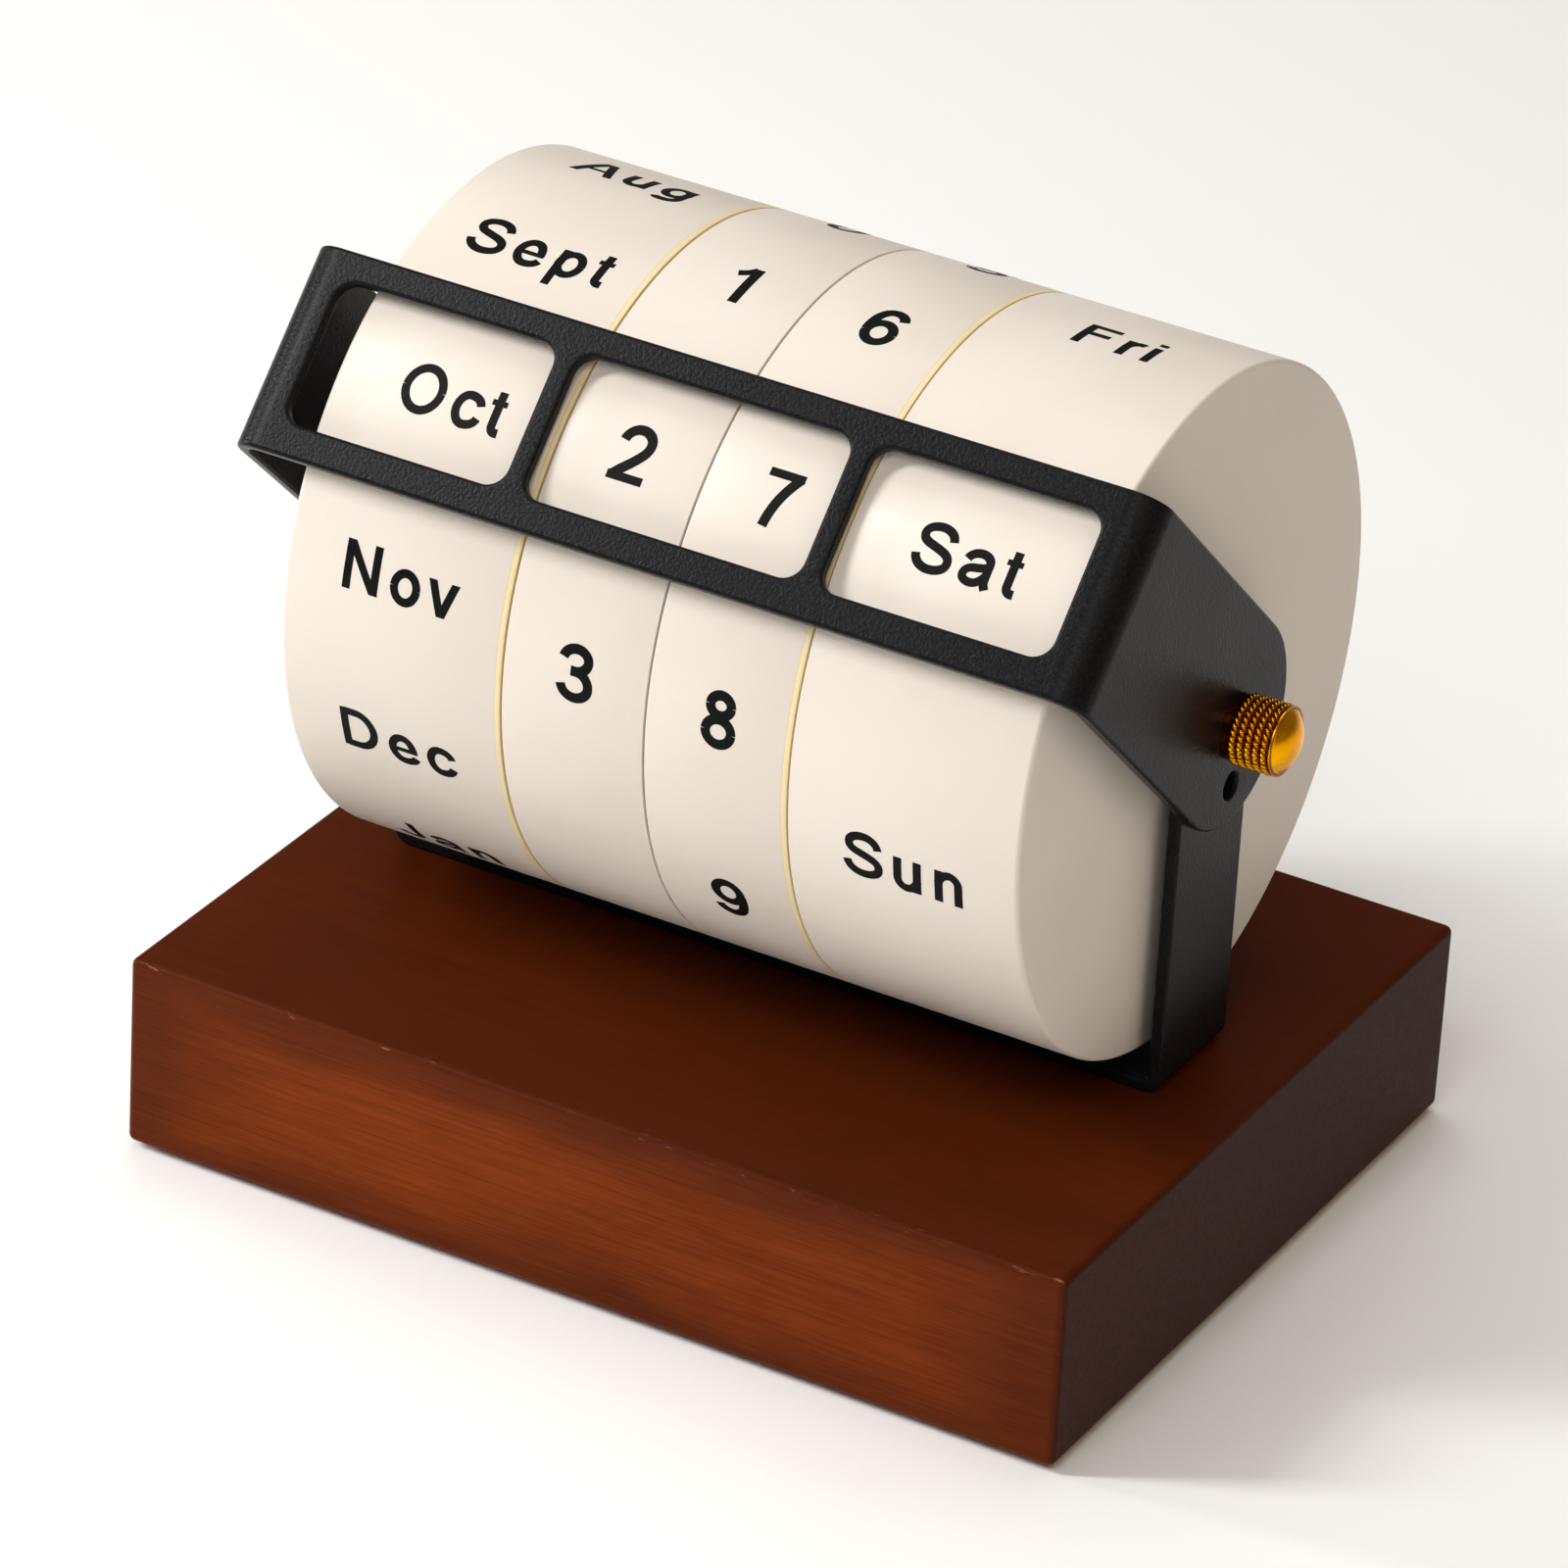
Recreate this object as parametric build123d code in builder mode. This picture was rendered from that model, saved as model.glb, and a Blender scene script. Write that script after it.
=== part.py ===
"""Desk perpetual calendar.

Four drums turn by hand on one steel axle. A bent strap stand carries the axle above a
wooden block, and a bent sheet frame with three windows swings on the same axle to mark
the date. Knurled nuts on the two axle ends clamp the frame.

Millimetres. X runs along the axle, -Y is the front and +Z is up. The origin is the
middle of the underside, so the object stands on z = 0.
"""

import math
import os

from build123d import *

os.makedirs("parts", exist_ok=True)

# ---------------------------------------------------------------- driving dimensions
BASE_LENGTH = 150.0
BASE_DEPTH = 117.0
BASE_HEIGHT = 30.0
BASE_EDGE_RADIUS = 1.2
FELT_THICKNESS = 1.0
FELT_INSET = 5.0
FELT_CORNER_RADIUS = 4.0

AXLE_ABOVE_WOOD = 55.0
AXLE_SETBACK = 1.2
AXLE_RADIUS = 3.0
AXLE_CHAMFER = 0.5
RUNNING_GAP = 0.06
FACE_GAP = 0.05

DRUM_RADIUS = 49.9
DRUM_EDGE_RADIUS = 0.7
DRUM_WALL = 2.2
DRUM_WEB = 2.0
WORD_DRUM_WIDTH = 35.3
DIGIT_DRUM_WIDTH = 22.3
DRUM_GAP = 0.3
DRUM_STACK_CENTRE = 0.46
CAP_THICKNESS = 0.8
CAP_SPIGOT = 3.0
CAP_SPIGOT_WALL = 1.6
HUB_RADIUS = 6.0
HUB_FLANGE_RADIUS = 11.0
HUB_FLANGE = 2.0

STRAP_THICKNESS = 2.0
STRAP_WIDTH = 20.0
STAND_HALF_WIDTH = 62.5
STAND_BEND_RADIUS = 2.6
SCREW_SPACING = 80.0
SCREW_RADIUS = 1.75
SCREW_HEAD_RADIUS = 3.6
SCREW_LENGTH = 16.0

SHEET_THICKNESS = 2.0
FRAME_TILT = 42.9
FRAME_CENTRE = -1.7
FRAME_HALF_WIDTH = 66.55
FRAME_HALF_HEIGHT = 15.2
FRAME_REACH = 52.2
FRAME_BEND_RADIUS = 5.0
WINDOW_HEIGHT = 21.4
WINDOW_RAISE = 0.3
WORD_WINDOW = 35.05
DIGIT_WINDOW = 43.3
WINDOW_BAR = 3.0
WINDOW_CORNER_RADIUS = 3.0
PEEP_HOLE_RADIUS = 2.0
PEEP_HOLE_DROP = 9.4

CLIP_THICKNESS = 0.8
CLIP_RADIUS = 5.2
CLIP_OPENING = 60.0
GROOVE_DEPTH = 0.4
SPACER_RADIUS = 7.0
CLAMP_WASHER = 0.8
CLAMP_WASHER_RADIUS = 4.8
KNOB_RADIUS = 5.2
KNOB_GRIP_LENGTH = 6.55
KNOB_DOME_HEIGHT = 2.2
KNOB_CHAMFER = 0.4
KNOB_THREAD_REACH = 6.0

# ---------------------------------------------------------------- places worked out
WOOD_TOP = FELT_THICKNESS + BASE_HEIGHT
AXLE_Y = AXLE_SETBACK
AXLE_Z = WOOD_TOP + AXLE_ABOVE_WOOD
STAND_INSIDE = STAND_HALF_WIDTH - STRAP_THICKNESS
STRAP_TOP = WOOD_TOP + STRAP_THICKNESS

drum_widths = [WORD_DRUM_WIDTH, DIGIT_DRUM_WIDTH, DIGIT_DRUM_WIDTH, WORD_DRUM_WIDTH]
stack_width = sum(drum_widths) + DRUM_GAP * (len(drum_widths) - 1)
stack_left = DRUM_STACK_CENTRE - stack_width / 2
stack_right = stack_left + stack_width
drum_lefts = [stack_left + sum(drum_widths[:i]) + i * DRUM_GAP for i in range(len(drum_widths))]

frame_left = FRAME_CENTRE - FRAME_HALF_WIDTH
frame_right = FRAME_CENTRE + FRAME_HALF_WIDTH
frame_left_inside = frame_left + SHEET_THICKNESS
frame_right_inside = frame_right - SHEET_THICKNESS

washer_left = frame_left - FACE_GAP
washer_right = frame_right + FACE_GAP
knob_left = washer_left - CLAMP_WASHER - FACE_GAP
knob_right = washer_right + CLAMP_WASHER + FACE_GAP
axle_left = knob_left - KNOB_THREAD_REACH
axle_right = knob_right + KNOB_THREAD_REACH


def across(x):
    """Plane at x, facing +X, centred on the axle, with its own x along +Y."""
    return Plane(origin=(x, AXLE_Y, AXLE_Z), x_dir=(0, 1, 0), z_dir=(1, 0, 0))


def along_axle(x, facing):
    """Plane through the axle for turned profiles: its x runs outward from x, its y is the radius."""
    return Plane(origin=(x, AXLE_Y, AXLE_Z), x_dir=(facing, 0, 0), z_dir=(0, -facing, 0))


def ring(outer, inner, left, right):
    """Plain washer or tube round the axle, from left to right along X."""
    with BuildPart() as body:
        with BuildSketch(across(left)):
            Circle(outer)
            Circle(inner, mode=Mode.SUBTRACT)
        extrude(amount=right - left)
    return body.part


def finish(part, label):
    """Label one finished piece and write it."""
    part.label = label
    export_step(part, f"parts/{label}.step")
    box = part.bounding_box()
    print(f"{label:20s} volume {part.volume:10.1f}  x {box.min.X:7.2f} to {box.max.X:7.2f}")


# ---------------------------------------------------------------- wooden base and its felt
screw_places = [(side * SCREW_SPACING / 2, AXLE_Y) for side in (-1, 1)]

with BuildPart() as wood_base:
    with BuildSketch(Plane.XY.offset(FELT_THICKNESS)):
        Rectangle(BASE_LENGTH, BASE_DEPTH)
    extrude(amount=BASE_HEIGHT)
    fillet(wood_base.edges(), radius=BASE_EDGE_RADIUS)
    with Locations(*[(x, y, WOOD_TOP) for x, y in screw_places]):
        Hole(SCREW_RADIUS, depth=SCREW_LENGTH)
finish(wood_base.part, "wood_base")

with BuildPart() as base_felt:
    with BuildSketch():
        RectangleRounded(
            BASE_LENGTH - 2 * FELT_INSET, BASE_DEPTH - 2 * FELT_INSET, FELT_CORNER_RADIUS
        )
    extrude(amount=FELT_THICKNESS)
finish(base_felt.part, "base_felt")

# ---------------------------------------------------------------- bent strap stand
with BuildPart() as stand_bracket:
    stand_profile = Plane(origin=(0, AXLE_Y, WOOD_TOP), x_dir=(1, 0, 0), z_dir=(0, -1, 0))
    post_height = AXLE_ABOVE_WOOD + STRAP_WIDTH / 2
    with BuildSketch(stand_profile):
        with Locations((0, post_height / 2)):
            Rectangle(2 * STAND_HALF_WIDTH, post_height)
        with Locations((0, post_height / 2 + STRAP_THICKNESS)):
            Rectangle(2 * STAND_INSIDE, post_height, mode=Mode.SUBTRACT)
        fillet(vertices().group_by(Axis.Y)[0], radius=STAND_BEND_RADIUS)
        inner_corners = vertices().filter_by(lambda v: abs(v.Y - STRAP_THICKNESS) < 0.01)
        fillet(inner_corners, radius=STAND_BEND_RADIUS - STRAP_THICKNESS)
    extrude(amount=STRAP_WIDTH / 2, both=True)
    with BuildSketch(across(-STAND_HALF_WIDTH)):
        Circle(STRAP_WIDTH / 2)
        with Locations((0, -AXLE_ABOVE_WOOD / 2)):
            Rectangle(STRAP_WIDTH, AXLE_ABOVE_WOOD)
    extrude(amount=2 * STAND_HALF_WIDTH, mode=Mode.INTERSECT)
    with BuildSketch(across(-STAND_HALF_WIDTH)):
        Circle(AXLE_RADIUS)
    extrude(amount=2 * STAND_HALF_WIDTH, mode=Mode.SUBTRACT)
    with Locations(*[(x, y, STRAP_TOP) for x, y in screw_places]):
        CounterSinkHole(
            radius=SCREW_RADIUS,
            counter_sink_radius=SCREW_HEAD_RADIUS,
            counter_sink_angle=90,
            depth=STRAP_THICKNESS,
        )
finish(stand_bracket.part, "stand_bracket")

with BuildPart() as bracket_screws:
    head_depth = SCREW_HEAD_RADIUS - SCREW_RADIUS
    for screw_x, screw_y in screw_places:
        screw_plane = Plane(origin=(screw_x, screw_y, STRAP_TOP), x_dir=(1, 0, 0), z_dir=(0, -1, 0))
        with BuildSketch(screw_plane):
            with BuildLine():
                Polyline(
                    (0, 0),
                    (SCREW_HEAD_RADIUS, 0),
                    (SCREW_RADIUS, -head_depth),
                    (SCREW_RADIUS, 1 - SCREW_LENGTH),
                    (0, -SCREW_LENGTH),
                    close=True,
                )
            make_face()
        revolve(axis=Axis((screw_x, screw_y, 0), (0, 0, 1)))
    with Locations(*[(x, y, STRAP_TOP) for x, y in screw_places]):
        Box(4.4, 0.9, 1.6, mode=Mode.SUBTRACT)
        Box(0.9, 4.4, 1.6, mode=Mode.SUBTRACT)
finish(bracket_screws.part, "bracket_screws")

# ---------------------------------------------------------------- axle, clips and spacers
clip_places = [-STAND_INSIDE, STAND_INSIDE - CLIP_THICKNESS]

with BuildPart() as axle:
    with BuildSketch(across(axle_left)):
        Circle(AXLE_RADIUS)
    extrude(amount=axle_right - axle_left)
    chamfer(axle.edges().filter_by(GeomType.CIRCLE), length=AXLE_CHAMFER)
    for clip_x in clip_places:
        with BuildSketch(across(clip_x - FACE_GAP)):
            Circle(AXLE_RADIUS + 1)
            Circle(AXLE_RADIUS - GROOVE_DEPTH, mode=Mode.SUBTRACT)
        extrude(amount=CLIP_THICKNESS + 2 * FACE_GAP, mode=Mode.SUBTRACT)
finish(axle.part, "axle")

with BuildPart() as retaining_clips:
    for clip_x in clip_places:
        with BuildSketch(across(clip_x)):
            Circle(CLIP_RADIUS)
            Circle(AXLE_RADIUS - GROOVE_DEPTH, mode=Mode.SUBTRACT)
            wedge = 2 * CLIP_RADIUS * math.tan(math.radians(CLIP_OPENING / 2))
            with BuildLine():
                Polyline(
                    (0, 0), (-wedge, -2 * CLIP_RADIUS), (wedge, -2 * CLIP_RADIUS), close=True
                )
            make_face(mode=Mode.SUBTRACT)
        extrude(amount=CLIP_THICKNESS)
finish(retaining_clips.part, "retaining_clips")

with BuildPart() as drum_washers:
    for left in drum_lefts[1:]:
        add(ring(HUB_RADIUS, AXLE_RADIUS, left - DRUM_GAP + FACE_GAP, left - FACE_GAP))
finish(drum_washers.part, "drum_washers")

thrust_bush = ring(
    SPACER_RADIUS, AXLE_RADIUS, -STAND_INSIDE + CLIP_THICKNESS, stack_left - FACE_GAP
)
finish(thrust_bush, "thrust_bush")

with BuildPart() as spring_washer:
    cone_height = STAND_INSIDE - CLIP_THICKNESS - stack_right - FACE_GAP
    cone_sheet = 0.6
    with BuildSketch(along_axle(stack_right + FACE_GAP, 1)):
        with BuildLine():
            Polyline(
                (0, AXLE_RADIUS),
                (cone_sheet, AXLE_RADIUS),
                (cone_height, SPACER_RADIUS),
                (cone_height - cone_sheet, SPACER_RADIUS),
                close=True,
            )
        make_face()
    revolve(axis=Axis((0, AXLE_Y, AXLE_Z), (1, 0, 0)))
finish(spring_washer.part, "spring_washer")

frame_spacer = ring(
    SPACER_RADIUS, AXLE_RADIUS, frame_left_inside + FACE_GAP, -STAND_HALF_WIDTH
)
finish(frame_spacer, "frame_spacer")

friction_washer = ring(
    SPACER_RADIUS, AXLE_RADIUS, STAND_HALF_WIDTH, frame_right_inside - FACE_GAP
)
finish(friction_washer, "friction_washer")


# ---------------------------------------------------------------- drums
def drum_shell(left, width, closed_at, cap_room):
    """Cup of one drum: a rim with a web at the closed end, -1 for left and 1 for right."""
    open_left = left if closed_at < 0 else left + cap_room
    open_width = width - cap_room
    web_left = left if closed_at < 0 else left + width - DRUM_WEB
    with BuildPart() as shell:
        with BuildSketch(across(open_left)):
            Circle(DRUM_RADIUS)
        extrude(amount=open_width)
        rim_edges = shell.edges().filter_by(GeomType.CIRCLE).sort_by(Axis.X)
        fillet(rim_edges[0] if closed_at < 0 else rim_edges[-1], radius=DRUM_EDGE_RADIUS)
        with BuildSketch(across(web_left + DRUM_WEB if closed_at < 0 else left)):
            Circle(DRUM_RADIUS - DRUM_WALL)
        extrude(amount=width - DRUM_WEB, mode=Mode.SUBTRACT)
        with BuildSketch(across(left)):
            Circle(HUB_RADIUS)
        extrude(amount=width, mode=Mode.SUBTRACT)
    return shell.part


def full_cap(right):
    """Cap as wide as the drum, with a spigot that locates inside the rim."""
    with BuildPart() as cap:
        with BuildSketch(across(right - CAP_THICKNESS)):
            Circle(DRUM_RADIUS)
        extrude(amount=CAP_THICKNESS)
        with BuildSketch(across(right - CAP_THICKNESS)):
            Circle(DRUM_RADIUS - DRUM_WALL)
            Circle(DRUM_RADIUS - DRUM_WALL - CAP_SPIGOT_WALL, mode=Mode.SUBTRACT)
        extrude(amount=-CAP_SPIGOT)
        with BuildSketch(across(right)):
            Circle(HUB_RADIUS)
        extrude(amount=-CAP_THICKNESS, mode=Mode.SUBTRACT)
    return cap.part


def hub_sleeve(left, width, closed_at):
    """Nylon bearing tube through one drum, with a flange against the inside of its web."""
    flange_left = left + DRUM_WEB if closed_at < 0 else left + width - DRUM_WEB - HUB_FLANGE
    with BuildPart() as hub:
        with BuildSketch(across(left)):
            Circle(HUB_RADIUS)
        extrude(amount=width)
        with BuildSketch(across(flange_left)):
            Circle(HUB_FLANGE_RADIUS)
        extrude(amount=HUB_FLANGE)
        with BuildSketch(across(left)):
            Circle(AXLE_RADIUS + RUNNING_GAP)
        extrude(amount=width, mode=Mode.SUBTRACT)
    return hub.part


month_left, tens_left, units_left, weekday_left = drum_lefts
inset_radius = DRUM_RADIUS - DRUM_WALL

finish(drum_shell(month_left, WORD_DRUM_WIDTH, -1, CAP_THICKNESS), "month_drum_shell")
finish(full_cap(month_left + WORD_DRUM_WIDTH), "month_drum_cap")
finish(hub_sleeve(month_left, WORD_DRUM_WIDTH, -1), "month_drum_hub")

finish(drum_shell(tens_left, DIGIT_DRUM_WIDTH, -1, 0), "tens_drum_shell")
tens_right = tens_left + DIGIT_DRUM_WIDTH
finish(ring(inset_radius, HUB_RADIUS, tens_right - DRUM_WEB, tens_right), "tens_drum_cap")
finish(hub_sleeve(tens_left, DIGIT_DRUM_WIDTH, -1), "tens_drum_hub")

finish(drum_shell(units_left, DIGIT_DRUM_WIDTH, -1, CAP_THICKNESS), "units_drum_shell")
finish(full_cap(units_left + DIGIT_DRUM_WIDTH), "units_drum_cap")
finish(hub_sleeve(units_left, DIGIT_DRUM_WIDTH, -1), "units_drum_hub")

finish(drum_shell(weekday_left, WORD_DRUM_WIDTH, 1, 0), "weekday_drum_shell")
finish(ring(inset_radius, HUB_RADIUS, weekday_left, weekday_left + DRUM_WEB), "weekday_drum_cap")
finish(hub_sleeve(weekday_left, WORD_DRUM_WIDTH, 1), "weekday_drum_hub")

# ---------------------------------------------------------------- window frame
tilt = math.radians(FRAME_TILT)
forward = Vector(0, -math.cos(tilt), math.sin(tilt))
upward = Vector(0, math.sin(tilt), math.cos(tilt))
frame_middle = Vector(FRAME_CENTRE, AXLE_Y, AXLE_Z)
bend_plane = Plane(origin=frame_middle, x_dir=(1, 0, 0), z_dir=-upward)
side_plane = Plane(origin=(frame_left, AXLE_Y, AXLE_Z), x_dir=forward, z_dir=(1, 0, 0))
face_plane = Plane(origin=frame_middle + forward * FRAME_REACH, x_dir=(1, 0, 0), z_dir=forward)
window_pitch = (DIGIT_WINDOW + WORD_WINDOW) / 2 + WINDOW_BAR
windows = [(-window_pitch, WORD_WINDOW), (0, DIGIT_WINDOW), (window_pitch, WORD_WINDOW)]

with BuildPart() as window_frame:
    sheet_length = FRAME_REACH + FRAME_HALF_HEIGHT
    with BuildSketch(bend_plane):
        with Locations((0, FRAME_REACH - sheet_length / 2)):
            Rectangle(2 * FRAME_HALF_WIDTH, sheet_length)
        fillet(vertices().group_by(Axis.Y)[-1], radius=FRAME_BEND_RADIUS)
    extrude(amount=FRAME_HALF_HEIGHT, both=True)
    with BuildSketch(bend_plane):
        with Locations((0, FRAME_REACH - SHEET_THICKNESS - sheet_length / 2)):
            Rectangle(2 * (FRAME_HALF_WIDTH - SHEET_THICKNESS), sheet_length)
        fillet(vertices().group_by(Axis.Y)[-1], radius=FRAME_BEND_RADIUS - SHEET_THICKNESS)
    extrude(amount=2 * FRAME_HALF_HEIGHT, both=True, mode=Mode.SUBTRACT)
    with BuildSketch(side_plane):
        Circle(FRAME_HALF_HEIGHT)
        with Locations((FRAME_REACH / 2, 0)):
            Rectangle(FRAME_REACH, 2 * FRAME_HALF_HEIGHT)
    extrude(amount=2 * FRAME_HALF_WIDTH, mode=Mode.INTERSECT)
    with BuildSketch(face_plane):
        for window_x, window_width in windows:
            with Locations((window_x, WINDOW_RAISE)):
                RectangleRounded(window_width, WINDOW_HEIGHT, WINDOW_CORNER_RADIUS)
    extrude(amount=-1.5 * SHEET_THICKNESS, mode=Mode.SUBTRACT)
    with BuildSketch(across(frame_left)):
        Circle(AXLE_RADIUS + RUNNING_GAP)
        with Locations((0, -PEEP_HOLE_DROP)):
            Circle(PEEP_HOLE_RADIUS)
    extrude(amount=2 * FRAME_HALF_WIDTH, mode=Mode.SUBTRACT)
finish(window_frame.part, "window_frame")


# ---------------------------------------------------------------- clamp washers and knobs
def thumb_knob(x, facing):
    """Knurled brass nut with a domed end, blind-bored for the axle's threaded end."""
    grip_end = KNOB_GRIP_LENGTH
    tip = grip_end + KNOB_DOME_HEIGHT
    bore = AXLE_RADIUS + RUNNING_GAP
    dome_rise = KNOB_RADIUS - KNOB_CHAMFER
    dome_radius = (dome_rise**2 + KNOB_DOME_HEIGHT**2) / (2 * KNOB_DOME_HEIGHT)
    middle_angle = math.asin(dome_rise / dome_radius) / 2
    dome_middle = (
        tip - dome_radius * (1 - math.cos(middle_angle)),
        dome_radius * math.sin(middle_angle),
    )
    with BuildPart() as knob:
        with BuildSketch(along_axle(x, facing)):
            with BuildLine():
                Polyline(
                    (tip, 0),
                    (0, 0),
                    (0, KNOB_RADIUS - KNOB_CHAMFER),
                    (KNOB_CHAMFER, KNOB_RADIUS),
                    (grip_end - KNOB_CHAMFER, KNOB_RADIUS),
                    (grip_end, dome_rise),
                )
                ThreePointArc((grip_end, dome_rise), dome_middle, (tip, 0))
            make_face()
        revolve(axis=Axis((0, AXLE_Y, AXLE_Z), (1, 0, 0)))
        with BuildSketch(across(x)):
            Circle(bore)
        extrude(amount=facing * (KNOB_THREAD_REACH + 0.5), mode=Mode.SUBTRACT)
    return knob.part


finish(
    ring(CLAMP_WASHER_RADIUS, AXLE_RADIUS + RUNNING_GAP, washer_left - CLAMP_WASHER, washer_left),
    "clamp_washer_left",
)
finish(
    ring(CLAMP_WASHER_RADIUS, AXLE_RADIUS + RUNNING_GAP, washer_right, washer_right + CLAMP_WASHER),
    "clamp_washer_right",
)
finish(thumb_knob(knob_left, -1), "thumb_knob_left")
finish(thumb_knob(knob_right, 1), "thumb_knob_right")
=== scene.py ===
"""Looks of the desk perpetual calendar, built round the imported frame.

The wooden block, the drums, the two bent black parts and the knurled nuts are detailed
meshes that stand for their CAD nodes. The other nodes keep their CAD shape and get a
material. The drum lettering is thin raised ink that rides on its own drum. Lengths are
millimetres in the frame's axes: X along the axle, -Y the front, +Z up. They turn into
metres where a mesh is made. Materials, lights and the camera work in metres.
"""

import math

import bmesh
import bpy
from mathutils import Matrix, Vector, noise
from mathutils.geometry import delaunay_2d_cdt


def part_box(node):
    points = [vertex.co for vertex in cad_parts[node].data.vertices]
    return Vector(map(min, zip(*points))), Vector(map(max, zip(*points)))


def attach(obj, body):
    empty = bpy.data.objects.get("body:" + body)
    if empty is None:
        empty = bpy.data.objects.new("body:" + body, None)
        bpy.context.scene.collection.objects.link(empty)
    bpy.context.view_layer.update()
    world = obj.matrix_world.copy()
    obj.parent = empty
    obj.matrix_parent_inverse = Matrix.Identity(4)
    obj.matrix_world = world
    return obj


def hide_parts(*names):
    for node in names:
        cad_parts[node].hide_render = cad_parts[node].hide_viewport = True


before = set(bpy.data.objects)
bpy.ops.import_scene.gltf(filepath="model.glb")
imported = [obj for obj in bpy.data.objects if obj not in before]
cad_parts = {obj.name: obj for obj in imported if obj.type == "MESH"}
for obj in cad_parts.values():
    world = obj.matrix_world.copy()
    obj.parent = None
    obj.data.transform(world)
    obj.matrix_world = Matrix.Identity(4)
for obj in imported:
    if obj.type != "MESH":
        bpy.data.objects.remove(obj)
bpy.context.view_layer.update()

MM = 0.001
TURN = 2 * math.pi
# Tolerances: for comparing, for merging points and for cutting.
TINY = 1e-6
MERGE = 1e-5
CUT = 1e-4

# ---------------------------------------------------------------- sizes
SEGMENTS = 256
DRUM_EDGE = 0.7
SEAM_EDGE = 0.25
DRUM_WALL = 2.2
DRUM_WEB = 2.0
HUB_RADIUS = 6.0
CAP_THICKNESS = 0.8
CAP_SPIGOT_WALL = 1.6
SMALL_EDGE = 0.06

BLOCK_EDGE = 1.2
BLOCK_CELL = 6.0
BLOCK_SINK = 0.05
BLOCK_SINK_MEAN = 0.8
# Length and share of each of the two waves that lie in the block's faces.
LONG_WAVE = 23
LONG_SHARE = 0.5
SHORT_WAVE = 9
SHORT_SHARE = 0.3

SHEET = 2.0
SHEET_EDGE = 0.5
BEND_CUT = 0.35
BEND_CUTS_LEAST = 10
FRONT_CUTS = 12
ARM_CUTS = 8
STAND_BEND = 1.6
SCREW_SPACING = 80.0
SCREW_HEAD_RADIUS = 3.62
AXLE_HOLE = 3.06

FRAME_TILT = math.radians(42.9)
FRAME_BEND = 4.0
FRAME_HALF_HEIGHT = 15.2
FRAME_GAP = 0.3
WINDOW_HEIGHT = 21.4
WINDOW_RAISE = 0.3
WORD_WINDOW = 35.05
DIGIT_WINDOW = 43.3
WINDOW_BAR = 3.0
WINDOW_CORNER = 3.0
PEEP_HOLE = 2.0
PEEP_HOLE_DROP = 9.4

KNOB_RADIUS = 5.2
KNOB_GRIP = 6.55
KNOB_DOME = 2.2
KNOB_BORE_DEPTH = 6.5
KNOB_COLLAR = 0.25
KNOB_NECK = 0.3
KNOB_NECK_FLOOR = (0.22, 0.12)
KNOB_LIP = 0.24
KNOB_LIP_SET_IN = 0.32
KNOB_LIP_RUN = 0.16
KNOB_DOME_INSET = 0.4
DOME_STEPS = 16
KNURL_RINGS = 5
KNURL_BEADS = 34
KNURL_DEPTH = 0.5
KNURL_SLANT = 0.55
KNURL_VALLEY = 0.1
RING_STEPS = 10
BEAD_STEPS = 10

WORD_HEIGHT = 7.1
WORD_SPACING = 0.1
DIGIT_HEIGHT = 8.2
LETTER_SHIFT = {"month": 1.05, "tens": 0.05, "units": 0.45, "weekday": 0.05}
INK_THICKNESS = 0.03
INK_SLICE = 0.5
INK_SLICES = 20
INK_SLICE_SHIFT = 0.013
READ_ANGLE = 43.1
MONTHS = ["Oct", "Nov", "Dec", "Jan", "Feb", "Mar", "Apr", "May", "June", "July", "Aug", "Sept"]
WEEKDAYS = ["Sat", "Sun", "Mon", "Tue", "Wed", "Thu", "Fri"]
TENS = ["2", "3", "", "0", "1", "2", "3", "", "0", "1"]
UNITS = ["7", "8", "9", "0", "1", "2", "3", "4", "5", "6"]


def span(node):
    """Lowest and highest corners of a CAD node, in millimetres."""
    low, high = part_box(node)
    return low / MM, high / MM


def middle(node):
    low, high = span(node)
    return (low + high) / 2


AXLE = middle("axle")
DRUM_RADIUS = (span("month_drum_shell")[1].z - span("month_drum_shell")[0].z) / 2


# ---------------------------------------------------------------- materials
# Places of a Mix node's colour sockets.
COLOUR_A = 6
COLOUR_B = 7
COLOUR_OUT = 2


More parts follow.
